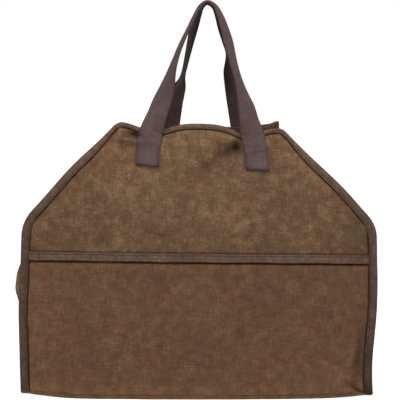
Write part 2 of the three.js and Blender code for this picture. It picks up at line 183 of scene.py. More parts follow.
# Slumps and folds: centre x and z as shares of half the width and of the height, reach along and
# across as shares of the height, turn in degrees, moves sideways, up and out as shares of the slump
frontDrape = [
    (-0.26, 1.0, 0.077, 0.14, 0, 0, -0.92, 0),
    (0.27, 1.0, 0.07, 0.14, 0, 0, -0.98, 0),
    (0.6, 0.97, 0.3, 0.2, 0, 0, -0.64, 0.1),
    (0.95, 0.67, 0.09, 0.1, 0, 0, -0.32, 0),
    (-0.73, 0.83, 0.14, 0.14, 0, -0.1, 0.32, 0),
    (-0.46, 1.0, 0.05, 0.1, 0, 0, 0.14, 0),
    (1.0, 0.55, 0.2, 0.2, 0, -0.2, 0, 0),
    (1.0, 0.08, 0.25, 0.23, 0, -1.0, 0, 0),
    (-1.0, 0.0, 0.116, 0.17, 0, 0.1, 0.5, 0),
    (-1.0, 0.34, 0.14, 0.11, 0, -0.13, 0, 0),
    (1.0, 0.0, 0.116, 0.17, 0, 0.1, 0.25, 0),
    (0.1, 0.86, 0.2, 0.09, 28, 0, 0, -0.35),
    (-0.32, 0.7, 0.22, 0.11, -40, 0, 0, 0.25),
    (0.58, 0.26, 0.3, 0.1, -35, 0, 0, -0.35),
    (-0.5, 0.22, 0.28, 0.11, 20, 0, 0, 0.25),
]
backDrape = [
    (-0.25, 1.0, 0.38, 0.28, 0, 0, -0.75, 0),
    (0.42, 1.0, 0.07, 0.12, 0, -0.2, 0.05, 0),
    (0.46, 1.0, 0.015, 0.03, 0, 0.35, 0.42, 0),
    (0.52, 0.97, 0.035, 0.03, -45, -0.5, -0.45, 0),
    (0.66, 0.82, 0.2, 0.08, -45, -0.35, -0.45, 0),
    (-0.19, 1.0, 0.08, 0.14, 0, 0, -0.3, 0),
    (0.25, 1.0, 0.08, 0.14, 0, 0, -0.3, 0),
    (-1.0, 0.0, 0.116, 0.17, 0, 0, 0.3, 0),
    (1.0, 0.0, 0.116, 0.17, 0, -0.3, 0.3, 0),
    (0.3, 0.68, 0.25, 0.11, 30, 0, 0, -0.3),
    (-0.4, 0.28, 0.3, 0.11, -25, 0, 0, 0.3),
]

# Small creases in millimetres: centre x and z, reach along and across, turn, height
frontCreases = [
    (50, 340, 10, 7, 80, -7.5),
    (41, 329, 18, 8, 48, -4.6),
    (20, 311, 32, 9, 38, -4.4),
    (34, 342, 20, 6, 30, 1.8),
    (38, 308, 26, 8, 40, 1.5),
    (-102, 341, 20, 4, 4, 5.0),
    (-90, 349, 12, 4.5, 8, -7.8),
    (-106, 350, 10, 6, -40, 1.5),
    (-70, 344, 16, 7, -50, -1.2),
    (96, 341, 20, 8, -35, 1.4),
    (110, 326, 26, 8, -38, -1.2),
    (216, 10, 13, 3.5, -38, -5.5),
    (221, 44, 42, 6, 88, -6.0),
    (218, 10, 8, 8, 0, 2.2),
    (196, 60, 40, 12, 75, 1.2),
    (-206, 158, 22, 7, 35, -1.4),
    (188, 160, 26, 7, -30, -1.6),
    (150, 168, 20, 6, 10, 1.0),
    (216, 236, 8, 20, 8, -2.6),
    (-140, 60, 60, 16, 15, 1.5),
    (40, 90, 70, 20, -12, 1.5),
    (-60, 120, 50, 14, 25, -1.3),
    (130, 110, 60, 15, 35, 1.2),
    (-150, 236, 46, 14, 44, 1.8),
    (-40, 262, 60, 14, -55, -1.5),
    (-118, 318, 40, 12, 38, 1.6),
    (30, 250, 60, 15, 62, 1.6),
    (96, 268, 50, 13, -62, -1.6),
    (120, 236, 50, 15, -30, -1.5),
    (150, 285, 44, 12, -40, 1.7),
]
backCreases = [
    (-40, 330, 20, 8, -30, -2.0),
    (62, 336, 22, 7, 25, -1.6),
    (-190, 30, 34, 9, 60, -2.0),
    (200, 18, 24, 8, -40, -2.0),
    (120, 150, 44, 12, -25, -1.3),
    (-90, 90, 60, 16, 18, 1.0),
    (-120, 240, 50, 15, 35, -1.0),
    (140, 250, 40, 12, -40, 1.0),
]
# Spread and shift: the gap between a handle's feet, and how far their middle is off the face's
front = {"sign": -1, "drape": frontDrape, "creases": frontCreases, "seed": 5,
         "spread": 137, "shift": 2.5}
back = {"sign": 1, "drape": backDrape, "creases": backCreases, "seed": 11,
        "spread": 106, "shift": 7}

# Relief of the sewn cloth in millimetres: fullness and a pulled line beside seams, slow waves all
# over, grooves beside the tape (groove) and under and over the strip, painted shade in the one over
# the strip and in creases deeper than a set depth, and painted light on a stretch at the bottom
relief = {
    "puff": 2.0, "puffIn": 12, "puffReach": 8, "pull": 0.9, "pullIn": 1.5, "pullReach": 4,
    "waves": 0.6, "ripple": 0.5, "groove": 1.5, "grooveIn": 0.8, "grooveReach": 1.1,
    "under": 2.2, "underIn": 0.6, "underReach": 1.5,
    "over": 0.9, "overIn": 0.5, "overReach": 1.1, "overShade": 0.7,
    "shadeFrom": 1.5, "creaseShade": 0.12, "wearAndShading": 0.3, "bottomLightHeight": 4, "bottomLightReach": 14,
}


def mix(low, high, share):
    return low + (high - low) * share


def bell(value, reach):
    # 1 at zero, fading with the exponent of minus the square
    return np.exp(-((value / reach) ** 2))


def rising(value, soft):
    # From 0 far below zero to 1 far above it, over a few times the soft length
    return 1 / (1 + np.exp(-value / soft))


def along(table, at):
    # Smooth curve through a table of places and values: cubic pieces with central slopes
    places, values = np.asarray(table, float).T
    last = len(places) - 1
    before = np.maximum(np.arange(last + 1) - 1, 0)
    after = np.minimum(np.arange(last + 1) + 1, last)
    slopes = (values[after] - values[before]) / (places[after] - places[before])
    at = np.clip(at, places[0], places[-1])
    i = np.clip(np.searchsorted(places, at) - 1, 0, last - 1)
    span = places[i + 1] - places[i]
    t = (at - places[i]) / span
    start = (1 + 2 * t) * (1 - t) ** 2 * values[i] + t * (1 - t) ** 2 * span * slopes[i]
    end = t * t * (3 - 2 * t) * values[i + 1] + t * t * (t - 1) * span * slopes[i + 1]
    return start + end


def hill(x, z, centreX, centreZ, reachAlong, reachAcross, turn):
    # 1 at the centre, fading with the exponent of minus the squared distances along and across
    c, s = math.cos(math.radians(turn)), math.sin(math.radians(turn))
    dx, dz = x - centreX, z - centreZ
    return np.exp(-(((dx * c + dz * s) / reachAlong) ** 2) - ((dz * c - dx * s) / reachAcross) ** 2)


def waves(seed, a, b, lengths=(34, 52, 78, 110)):
    # Sum of sines that run in seeded directions, one pair for each wavelength
    draw = np.random.default_rng(seed)
    total = 0
    for length in lengths:
        for heading, phase in draw.uniform(0, 2 * math.pi, (2, 2)):
            run = a * math.cos(heading) + b * math.sin(heading)
            total = total + np.sin(2 * math.pi * run / length + phase)
    return total / (len(lengths) * 1.4)


slantRun = np.array([topWidth / 2 - halfWidth, panelHeight - shoulderHeight])
slantRun = slantRun / np.linalg.norm(slantRun)


def slantDistance(x, z):
    return slantRun[1] * (halfWidth - np.abs(x)) - slantRun[0] * (shoulderHeight - z)


def edgeDistance(x, z):
    # Distance in from the cut edge: the least of those to the side, the slant and the top
    return np.minimum(np.minimum(halfWidth - np.abs(x), slantDistance(x, z)), panelHeight - z)


def sewnRelief(face, x, z):
    # Creases, a pulled line beside each seam with fullness next to it, and slow waves
    total = relief["waves"] * waves(face["seed"], x, z)
    for crease in face["creases"]:
        total = total + crease[5] * hill(x, z, *crease[:5])
    ripple = 0.7 + relief["ripple"] * waves(face["seed"] + 1, x, z, (17, 26, 41))
    for inward in (edgeDistance(x, z) - tapeReachAt(x, z), stripMiddle(x) - stripHeight / 2 - z):
        full = bell(inward - relief["puffIn"], relief["puffReach"])
        pulled = bell(inward - relief["pullIn"], relief["pullReach"])
        total = total + ripple * (relief["puff"] * full - relief["pull"] * pulled)
    return total


def creaseDark(face, x, z):
    # Painted shade in the creases that go inwards, from their depth in millimetres
    deep = sum(max(0, -crease[5] - relief["shadeFrom"]) * hill(x, z, *crease[:5])
               for crease in face["creases"])
    return np.minimum(deep * relief["creaseShade"], 1)


# Shares of the tape's width: what shows in front at the sides, and what is hidden by the rolled
# top edge, on the slant, at the right top corner and in a pinch low on the left side
tapeShow = {"sides": 0.82, "top": 0.4, "topFrom": 335, "slant": 0.08, "corner": 0.12,
            "pinch": 0.16, "pinchHeight": 102}


def tapeReachAt(x, z):
    # Width of the tape that shows in front: it narrows towards the rolled top edge
    top = rising(z - tapeShow["topFrom"], 8)
    slant = rising(14 - slantDistance(x, z), 4) * rising(z - shoulderHeight - 20, 20)
    corner = bell(x - topWidth / 2, 26) * bell(z - panelHeight + 14, 30) * (1 - top)
    pinch = hill(x, z, -halfWidth, tapeShow["pinchHeight"], 20, 9, 0)
    hidden = sum(tapeShow[key] * size for key, size in (
        ("top", top), ("slant", slant), ("corner", corner), ("pinch", pinch)))
    return tapeWidth * (tapeShow["sides"] - hidden)


def stripMiddle(x):
    # Height of the strip's middle: it drops a little from left to right
    return seamHeight + stripLift - stripDrop * x / halfWidth


def seamGroove(x, z):
    # Depth beside the tape and along the strip, and the painted shade in these grooves: hills over
    # the distance to each
    fromTape = edgeDistance(x, z) - tapeReachAt(x, z)
    fromStrip = stripMiddle(x) - z
    beside = bell(fromTape - relief["grooveIn"], relief["grooveReach"])
    under = bell(fromStrip - stripHeight / 2 - relief["underIn"], relief["underReach"])
    over = bell(fromStrip + stripHeight / 2 + relief["overIn"], relief["overReach"])
    deep = relief["groove"] * beside + relief["over"] * over + relief["under"] * under
    return deep, np.maximum(np.maximum(beside, under), relief["overShade"] * over)


def onFace(face, x, z, out=0.0):
    # Place of a face over the flat pattern's x and z: half the depth at that height, the bow as 1
    # less the squared share of the half width, and the sum of the drape's hills
    x, z, out = np.broadcast_arrays(*[np.asarray(value, float) for value in (x, z, out)])
    moves = np.zeros((3, *x.shape))
    for row in face["drape"]:
        reach = (row[2] * panelHeight, row[3] * panelHeight)
        size = hill(x, z, row[0] * halfWidth, row[1] * panelHeight, *reach, row[4])
        moves += slump * np.multiply.outer(row[5:], size)
    depth = mix(mouthDepth, baseDepth, along(leanDepth, z / panelHeight)) / 2
    bow = faceBow * along(leanBow, z / panelHeight) * (1 - (x / halfWidth) ** 2)
    outward = depth + bow + out + moves[2] + sewnRelief(face, x, z)
    return np.stack([x + moves[0], face["sign"] * outward, z + moves[1]], axis=-1)


def between(x, z, out, share):
    # Place on the straight line from the front face to the back face
    share = np.asarray(share, float)[..., None]
    return mix(onFace(front, x, z, out), onFace(back, x, z, out), share)


def unit(vectors):
    return vectors / np.maximum(np.linalg.norm(vectors, axis=-1, keepdims=True), 1e-9)


def walked(points, axis=0):
    # Length of the way along an axis of the points, from zero at its start
    first = np.take(points, [0], axis)
    return np.cumsum(np.linalg.norm(np.diff(points, axis=axis, prepend=first), axis=-1), axis)


def buildMesh(name, points, faces, attributes):
    # Points in millimetres, faces as lists of rows of point numbers, and numbers kept on each point
    mesh = bpy.data.meshes.new(name)
    quads = [row for block in faces for row in block.tolist()]
    mesh.from_pydata((points * 0.001).tolist(), [], quads)
    for key, values in attributes.items():
        layer = mesh.attributes.new(key, "FLOAT_VECTOR", "POINT")
        layer.data.foreach_set("vector", np.ascontiguousarray(values, np.float32).ravel())
    mesh.shade_smooth()
    mesh.set_sharp_from_angle(angle=math.radians(50))
    return mesh


def addPiece(name, mesh, material, nodes=()):
    mesh.materials.append(material)
    piece = bpy.data.objects.new(name, mesh)
    bpy.context.collection.objects.link(piece)
    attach(piece, "root")
    if nodes:
        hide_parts(*nodes)
    return piece


def sectionFaces(points):
    # A closed section carried along: the faces between sections, and a strip that closes each end
    stations, around = points.shape[:2]
    number = np.arange(stations * around).reshape(stations, around)
    turned = np.roll(number, -1, axis=1)
    sides = np.stack([number[:-1], number[1:], turned[1:], turned[:-1]], axis=-1).reshape(-1, 4)
    k = np.arange(around // 2 - 1)
    ends = [np.stack([row[k], row[k + 1], row[around - 2 - k], row[around - 1 - k]], axis=-1)
            for row in (number[0], number[-1][::-1])]
    faces = np.concatenate([sides, *ends])
    corners = points.reshape(-1, 3)[faces]
    volume = sum(np.sum(corners[:, 0] * np.cross(corners[:, k], corners[:, k + 1])) for k in (1, 2))
    return faces[:, ::-1] if volume < 0 else faces


def sectionMesh(name, *bodies):
    # Each body is its points, stations by section, where they lie on the flat cloth, and where it
    # has any, its darkness for the seam attribute, most of it painted shade and light
    points, faces, lay, seam, count = [], [], [], [], 0
    for body, flat, *wearAndShading in bodies:
        points.append(body.reshape(-1, 3))
        faces.append(sectionFaces(body) + count)
        lay.append(np.broadcast_to(flat, body.shape).reshape(-1, 3))
        seam.append(np.broadcast_to(wearAndShading[0] if wearAndShading else 0.0, body.shape).reshape(-1, 3))
        count += len(points[-1])
    kept = {"lay": np.concatenate(lay), "seam": np.concatenate(seam)}
    return buildMesh(name, np.concatenate(points), faces, kept)


def layOf(u, v, inner=0.0):
    # Place on the flat cloth in millimetres, with the side as the third number
    values = [np.asarray(value, float) for value in (u, v, inner)]
    return np.stack(np.broadcast_arrays(*values), axis=-1)


def twoSided(outer, inner):
    # Closed section from the points of a sheet's outer and inner side
    return np.concatenate([outer, inner[:, ::-1]], axis=1)


# Materials. Colours are screen values. Blotch, drift and mottle are noise scales to the metre, and
# the shares are their strengths. Seam is the strength of the seam attribute's darkness, most of
# it painted shade and light, thread the width of a thread in millimetres, weave the brightness
# between threads, and weaveDepth in metres
canvasLook = {
    "dark": (56, 38, 31), "middle": (91, 67, 46), "light": (124, 100, 70), "seam": 0.8,
    "blotch": 14, "drift": 30, "mottle": 85,
    "blotchShare": 0.35, "mottleShare": 0.8, "slubShare": 0.8, "fleckShare": 0.85,
    "scuff": 0.12, "thread": 0.8, "weave": 0.88, "weaveDepth": 0.0003, "roughness": (0.66, 0.86),
}
lowerLook = {
    "dark": (58, 40, 31), "middle": (91, 64, 45), "light": (122, 94, 64),
    "blotchShare": 0.2, "mottleShare": 0.65, "scuff": 0.06,
}
tapeLook = {
    "dark": (51, 38, 30), "middle": (83, 63, 50), "light": (113, 90, 72), "seam": 0.75,
    "blotch": 40, "drift": 30, "mottle": 160,
    "blotchShare": 0.4, "mottleShare": 0.7, "slubShare": 0.4, "fleckShare": 0.9,
    "scuff": 0.1, "thread": 1.3, "weave": 0.62, "weaveDepth": 0.0003, "roughness": (0.7, 0.88),
}
webbingLook = {
    "dark": (55, 42, 41), "middle": (76, 60, 59), "light": (98, 80, 78), "seam": 0.6,
    "blotch": 25, "drift": 20, "mottle": 120,
    "blotchShare": 0.3, "mottleShare": 0.5, "slubShare": 0.5, "fleckShare": 0.7,
    "scuff": 0.0, "thread": 1.1, "weave": 0.8, "weaveDepth": 0.00035, "roughness": (0.74, 0.9),
}
# What all the cloths share: streaks along the threads to the millimetre, scuff lines, the part of
# a thread's height that goes under, the shade of the inner side, the fuzz, and the dye's drift
grain = {
    "slubAcross": 0.7, "slubAlong": 0.05, "fleck": 0.5, "scuffScale": 26, "scuffWidth": 0.022,
    "wearAndLightFrom": 0.46, "wornFull": 0.6, "under": 0.35, "crown": 1.06, "inside": 0.25,
    "fuzz": 0.9, "fuzzScale": 260, "bump": 0.7, "sheen": 0.12,
    "driftFrom": 0.35, "driftFull": 0.65, "warm": (1.045, 0.985, 0.965),
    "toCool": (-0.09, 0.03, 0.07),
}
threadLook = {"colour": (40, 30, 25), "light": (62, 47, 39), "twist": 1.1, "roughness": 0.7}


def clothMaterial(name, look, twill=False):
    # Dyed cloth: blotches and mottling through a colour ramp, streaks of thicker threads, and a
    # weave whose height is the greater of the warp's and the weft's rounded threads
    material, add, calc = startMaterial(name)
    place = add("TexCoord", {}, {}).outputs["Object"]
    lay = add("Attribute", {"attribute_name": "lay"}, {}).outputs["Vector"]

    def noise(vector, scale, detail, rough=0.55):
        inputs = {"Vector": vector, "Scale": scale, "Detail": detail, "Roughness": rough}
        return add("TexNoise", {}, inputs).outputs["Fac"]

    def ranged(value, low, high, start=0.0, end=1.0):
        inputs = {"Value": value, "From Min": low, "From Max": high, "To Min": start, "To Max": end}
        return add("MapRange", {}, inputs).outputs[0]

    def streaks(scale):
        return noise(add("Mapping", {}, {"Vector": lay, "Scale": scale}).outputs[0], 1, 3)

    # The tone is a half plus each noise's distance from its middle times its own strength
    blotch = noise(place, look["blotch"], 3)
    mottle = noise(place, look["mottle"], 6, 0.7)
    warpSlubs = streaks((grain["slubAcross"], grain["slubAlong"], 1))
    weftSlubs = streaks((grain["slubAlong"], grain["slubAcross"], 1))
    slubs = calc("MULTIPLY", calc("ADD", warpSlubs, weftSlubs), 0.5)
    fleck = noise(lay, grain["fleck"], 4, 0.75)
    tone = 0.5
    for drawn, strength in ((blotch, look["blotchShare"]), (mottle, look["mottleShare"]),
                            (slubs, look["slubShare"]), (fleck, look["fleckShare"])):
        tone = calc("ADD", tone, calc("MULTIPLY_ADD", drawn, strength, -strength / 2))
    # Scuffs are thin lighter lines where a slow noise crosses its middle value
    crossed = calc("ABSOLUTE", calc("SUBTRACT", noise(place, grain["scuffScale"], 5, 0.6), 0.5))
    scuff = ranged(crossed, 0.0, grain["scuffWidth"], look["scuff"], 0.0)
    wearAndShading = ranged(mottle, grain["wearAndLightFrom"], grain["wornFull"])
    tone = calc("MULTIPLY_ADD", scuff, wearAndShading, tone)
    ramp = add("ValToRGB", {}, {"Fac": tone})
    ramp.color_ramp.elements[0].position = 0.15
    ramp.color_ramp.elements[0].color = linear(look["dark"])
    ramp.color_ramp.elements[1].position = 0.85
    ramp.color_ramp.elements[1].color = linear(look["light"])
    ramp.color_ramp.elements.new(0.5).color = linear(look["middle"])

    parts = add("SeparateXYZ", {}, {0: lay})
    u = calc("MULTIPLY", parts.outputs["X"], math.pi / look["thread"])
    v = calc("MULTIPLY", parts.outputs["Y"], math.pi / look["thread"])
    if twill:
        diagonal = calc("SINE", calc("ADD", u, calc("MULTIPLY", v, 0.5)))
        height = calc("MULTIPLY_ADD", calc("SINE", v), 0.3, diagonal)
        height = calc("MULTIPLY_ADD", height, 0.4, 0.5)
    else:
        warp, weft = calc("SINE", u), calc("SINE", v)
        over = calc("MULTIPLY", warp, weft)
        tops = [calc("MULTIPLY", calc("ABSOLUTE", thread),
                     calc("MULTIPLY_ADD", over, sign * grain["under"], 1 - grain["under"]))
                for thread, sign in ((warp, 1), (weft, -1))]
        height = calc("MAXIMUM", *tops)
    shade = ranged(height, 0.0, 1.0, look["weave"], grain["crown"])
    # The seam attribute's painted shade and light, and painted shade on the inner side, scale the
    # colour
    seam = add("Attribute", {"attribute_name": "seam"}, {}).outputs["Vector"]
    seam = add("SeparateXYZ", {}, {0: seam}).outputs["X"]
    for darker, strength in ((parts.outputs["Z"], grain["inside"]), (seam, look["seam"])):
        shade = calc("MULTIPLY", shade, calc("MULTIPLY_ADD", darker, -strength, 1.0))
    # The dye drifts slowly between a warmer and a cooler tint
    drift = ranged(noise(place, look["drift"], 3), grain["driftFrom"], grain["driftFull"])
    tint = {0: drift, 1: grain["toCool"], 2: grain["warm"]}
    tint = add("VectorMath", {"operation": "MULTIPLY_ADD"}, tint).outputs[0]
    dyed = {0: ramp.outputs["Color"], 1: tint}
    dyed = add("VectorMath", {"operation": "MULTIPLY"}, dyed).outputs[0]
    colour = add("VectorMath", {"operation": "SCALE"}, {0: dyed, "Scale": shade}).outputs[0]
    rough = ranged(mottle, 0.3, 0.7, *look["roughness"][::-1])
    bumps = calc("MULTIPLY_ADD", noise(place, grain["fuzzScale"], 3), grain["fuzz"], height)
    bump = {"Height": bumps, "Strength": grain["bump"], "Distance": look["weaveDepth"]}
    shader = add("BsdfPrincipled", {}, {
        "Base Color": colour, "Roughness": rough, "Specular IOR Level": grain["sheen"],
        "Normal": add("Bump", {}, bump).outputs[0],
    })
    add("OutputMaterial", {}, {"Surface": shader.outputs[0]})
    return material


def sewingMaterial(name, look):
    # Sewing thread: slanted bands of its twist between a dark and a lighter colour
    material, add, calc = startMaterial(name)
    lay = add("Attribute", {"attribute_name": "lay"}, {}).outputs["Vector"]
    parts = add("SeparateXYZ", {}, {0: lay})
    run = calc("ADD", parts.outputs["X"], parts.outputs["Y"])
    ply = calc("SINE", calc("MULTIPLY", run, 2 * math.pi / look["twist"]))
    share = calc("MULTIPLY_ADD", ply, 0.5, 0.5)
    ramp = add("ValToRGB", {}, {"Fac": share})
    ramp.color_ramp.elements[0].color = linear(look["colour"])
    ramp.color_ramp.elements[1].color = linear(look["light"])
    bump = add("Bump", {}, {"Height": share, "Strength": 0.5, "Distance": 0.0001})
    shader = add("BsdfPrincipled", {}, {
        "Base Color": ramp.outputs["Color"], "Roughness": look["roughness"],
        "Normal": bump.outputs[0], "Specular IOR Level": 0.3,
    })
    add("OutputMaterial", {}, {"Surface": shader.outputs[0]})
    return material


canvasMaterial = clothMaterial("waxed canvas", canvasLook)
lowerMaterial = clothMaterial("waxed canvas below the seam", {**canvasLook, **lowerLook})
tapeMaterial = clothMaterial("binding tape", tapeLook, twill=True)
webbingMaterial = clothMaterial("webbing", webbingLook)
threadMaterial = sewingMaterial("thread", threadLook)
print("materials are made")


# Canvas panels of the two faces. Grid in millimetres: the step, and a finer one near the seams
clothGrid = {"step": 3.0, "seamReach": 15, "seamStep": 0.8}
# Points along half a panel's edge: side to the seam, to the shoulder, its round, slant, round, top
edgeCounts = (58, 24, 14, 64, 14, 36)


def spaced(low, high, stepLength):
    return np.linspace(low, high, max(2, int(round(abs(high - low) / stepLength)) + 1))


def crowded(low, high):
    # Steps that are finer within the reach of both ends
    reach, fine = clothGrid["seamReach"], clothGrid["seamStep"]
    return np.concatenate([spaced(low, low + reach, fine)[:-1],
                           spaced(low + reach, high - reach, clothGrid["step"]),
                           spaced(high - reach, high, fine)[1:]])


def bend(start, corner, end, share):
    # Rounded corner: (1-t)² of the start, 2t(1-t) of the corner and t² of the end
    t = share[:, None]
    return (1 - t) ** 2 * start + 2 * t * (1 - t) * corner + t * t * end


def edgeLine(inset, low):
    # Half of a panel's edge on the flat pattern, set in from the cut edge: up the side, round the
    # shoulder, up the slant, round the top corner and in to the middle of the top edge
    start = np.array([halfWidth - slantRun[1] * inset, shoulderHeight + slantRun[0] * inset])
    shoulder = start + slantRun * (halfWidth - inset - start[0]) / slantRun[0]
    corner = start + slantRun * (panelHeight - inset - start[1]) / slantRun[1]
    beforeShoulder = shoulder - [0, shoulderRound]
    afterShoulder = shoulder + slantRun * shoulderRound
    beforeCorner = corner - slantRun * cornerRound
    afterCorner = corner - [cornerRound, 0]
    share = [np.linspace(0, 1, count + 1)[1:] for count in edgeCounts]
    seam = np.array([shoulder[0], seamHeight])
    return np.concatenate([
        [[shoulder[0], low]],
        mix(np.array([shoulder[0], low]), seam, share[0][:, None]),
        mix(seam, beforeShoulder, share[1][:, None]),
        bend(beforeShoulder, shoulder, afterShoulder, share[2]),
        mix(afterShoulder, beforeCorner, share[3][:, None]),
        bend(beforeCorner, corner, afterCorner, share[4]),
        mix(afterCorner, np.array([0, corner[1]]), share[5][:, None]),
    ])


# Painted shade that darkens the cloth: strengths, in millimetres where it begins and is full, and
# the place and reach of a painted shadow inside the right shoulder
paintedShading = {"aboveSeam": 0.3, "middle": 0.14, "middleFrom": 30, "middleFull": 90, "right": 0.16,
         "rightFrom": -215, "rightFull": -155, "shoulder": 0.24, "spot": (225, 222, 35, 42)}


def climb(value, low, high):
    # Straight from 0 at the low value to 1 at the high one
    return np.clip((value - low) / (high - low), 0, 1)


def paintedShadeAt(x, z):
    # Painted shade: above the seam it fades evenly up to the top edge, below it towards the bottom
    # and left
    upper = paintedShading["aboveSeam"] * (1 - climb(z, seamHeight, panelHeight))
    upper = upper + paintedShading["shoulder"] * hill(x, z, *paintedShading["spot"], 0)
    lower = (paintedShading["middle"] * climb(z, paintedShading["middleFrom"], paintedShading["middleFull"])
             + paintedShading["right"] * climb(x, paintedShading["rightFrom"], paintedShading["rightFull"]))
    return np.where(z > seamHeight, upper, lower)


def facePanel(name, face, x, z, node, material):
    # A cloth grid between its outer and inner side on a face
    deep, dark = seamGroove(x, z)
    # Painted shade in the grooves, the creases and across each face, less painted light on a stretch
    # at the bottom
    dark = mix(np.maximum(dark, creaseDark(face, x, z)), 1, paintedShadeAt(x, z))
    dark = dark - relief["wearAndShading"] * bell(z - relief["bottomLightHeight"], relief["bottomLightReach"])
    body = twoSided(onFace(face, x, z, halfCanvas - deep), onFace(face, x, z, -halfCanvas - deep))
    flat = twoSided(layOf(x, z), layOf(x, z, 1))
    wearAndShading = layOf(dark, 0 * dark)
    mesh = sectionMesh(name, (body, flat, twoSided(wearAndShading, wearAndShading)))
    return addPiece(name, mesh, material, [node])


def addFacePanels(side, face):
    columns = crowded(-halfWidth, halfWidth)[:, None] / halfWidth
    heights = crowded(floorEdge, seamHeight - clearance / 2)[None, :]
    x, z = np.broadcast_arrays(columns * halfWidth, heights)
    lower = facePanel(f"{side}_lower_canvas", face, x, z, f"{side}_lower_panel", lowerMaterial)
    edge = edgeLine(0, seamHeight + clearance / 2)[edgeCounts[0]:-edgeCounts[-1]]
    edge[0, 1] = seamHeight + clearance / 2
    x, z = np.broadcast_arrays(columns * edge[None, :, 0], edge[None, :, 1])
    upper = facePanel(f"{side}_upper_canvas", face, x, z, f"{side}_upper_panel", canvasMaterial)
    return lower, upper


faces = {"front": front, "back": back}
panels = {side: addFacePanels(side, face) for side, face in faces.items()}
print("face panels are made")


# Bottom with its turned-up lips, and the swelling end panels
bottomLook = {"lipRound": 1.1, "turnShare": 0.3, "lipFade": 4, "rows": 60, "stitchUp": 2.7}
endLook = {"seed": 21, "waves": 1.3, "dimples": 2.4, "faceDepth": 78, "fadeHeight": 40,
           "columns": 90, "flangeColumns": 6, "baseColumns": 5, "baseRows": 70}
# Length from face to face that the ends' creases, tapes and flanges are laid out on
endRun = 200


def addBottom():
    x = spaced(-1, 1, 2 * clothGrid["step"] / panelWidth) * (halfWidth - clearance)
    inside = halfCanvas + clearance
    outside = inside + canvasThickness
    turn, firstTurn = bottomLook["lipRound"], bottomLook["turnShare"] * bottomLook["lipRound"]
    sides = []
    for out, height in ((outside, 0), (inside, canvasThickness)):
        # The lips run down to nothing where the tape covers the panel's corners
        reach = np.clip((halfWidth - tapeWidth + 1 - np.abs(x)) / bottomLook["lipFade"], 0, 1)
        lip = [(mix(height + turn, lipHeight, share * reach), out)
               for share in (1, 0.8, 0.6, 0.4, 0.2, 0)]
        lip += [(height + firstTurn, out - firstTurn), (height, out - turn)]
        frontLip = [onFace(front, x, *place) for place in lip]
        backLip = [onFace(back, x, *place) for place in lip[::-1]]
        tray = [between(x, height, out - turn, np.full(len(x), share))
                for share in np.linspace(0, 1, bottomLook["rows"])[1:-1]]
        sides.append(np.stack(frontLip + tray + backLip, axis=1))
    outer, inner = sides
    depth = walked(outer, 1)
    flat = twoSided(layOf(x[:, None], depth), layOf(x[:, None], depth, 1))
    mesh = sectionMesh("bottom_canvas", (twoSided(outer, inner), flat))
    return addPiece("bottom_canvas", mesh, lowerMaterial, ["bottom_panel"])


def endWall(end, share, z, height=0.0):
    # Place on an end wall: straight from face to face, swollen outwards by the squared sine of the
    # share's power times a hill in height, with slow waves that fade at the seams
    sign = end["sign"]
    level = np.minimum(z, endHeight)
    span = 2 * np.interp(level, [0, endHeight], [baseDepth / 2, endLook["faceDepth"]])
    margin = (tapeOutside + 2 * clearance) / span
    point = between(sign * wallX, level, -flangeDepth, margin + (1 - 2 * margin) * share)
    hump = bell(level / panelHeight - end["z"], end["tall"])
    hump = hump * np.sin(math.pi * share ** end["skew"]) ** 2
    fade = np.sin(math.pi * share) ** 0.7 * np.minimum(level / endLook["fadeHeight"], 1)
    run = share * endRun
    wrinkle = endLook["waves"] * waves(endLook["seed"] + sign, run, level, (30, 47, 70))
    for dimple in end["dimples"]:
        wrinkle = wrinkle + endLook["dimples"] * dimple[5] * hill(run, level, *dimple[:5])
    point[..., 0] += sign * (endBulge * end["share"] * hump + fade * wrinkle + height)
    point[..., 2] += z - level
    return point


leftEnd = {"sign": -1, "skew": 0.66, "z": 0.395, "tall": 0.16, "share": 1.0, "dimples": [
    (60, 150, 40, 9, 70, -1), (130, 60, 60, 14, 35, -0.8), (90, 40, 40, 10, -30, 0.6)]}
rightEnd = {"sign": 1, "skew": 1.5, "z": 0.38, "tall": 0.17, "share": 0.86, "dimples": [
    (140, 150, 40, 9, -65, -1), (70, 70, 60, 14, -35, -0.8), (120, 35, 40, 10, 30, 0.6)]}
ends = {"left": leftEnd, "right": rightEnd}


def addEndPanel(side, end):
    # Wall with its two flanges behind the faces, and a flange on the bottom
    share = np.linspace(0, 1, endLook["columns"])[None, :]
    z = spaced(floorEdge, endHeight, clothGrid["step"])[:, None]
    flangeX = np.linspace(halfWidth - clearance, wallX, endLook["flangeColumns"])[None, :]
    flangeX = end["sign"] * flangeX
    rows = [
        onFace(front, flangeX, z, -flangeDepth),
        endWall(end, *np.broadcast_arrays(share, z)),
        onFace(back, flangeX[:, ::-1], z, -flangeDepth),
    ]
    line = np.concatenate(rows, axis=1)
    normal = unit(np.cross(np.gradient(line, axis=1), np.gradient(line, axis=0)))
    run = walked(line, 1)
    wall = twoSided(line + normal * halfCanvas, line - normal * halfCanvas)
    inner = 1.0 if end["sign"] * normal[len(z) // 2, line.shape[1] // 2, 0] > 0 else 0.0
    flat = twoSided(layOf(run, z, 1 - inner), layOf(run, z, inner))
    x = np.linspace(wallX, halfWidth - clearance, endLook["baseColumns"])[None, :] * end["sign"]
    place = np.linspace(0, 1, endLook["baseRows"])[:, None]
    base = [between(x, floorEdge + up, -flangeDepth, place * np.ones_like(x))
            for up in (canvasThickness, 0.1)]
    flange = twoSided(*base), twoSided(*(layOf(x, place * endRun, inside) for inside in (0, 1)))
    name = f"{side}_end_canvas"
    mesh = sectionMesh(name, (wall, flat), flange)
    return addPiece(name, mesh, canvasMaterial, [f"{side}_end_panel"])


bottom = addBottom()
endPanels = {side: addEndPanel(side, end) for side, end in ends.items()}
print("bottom and end panels are made")


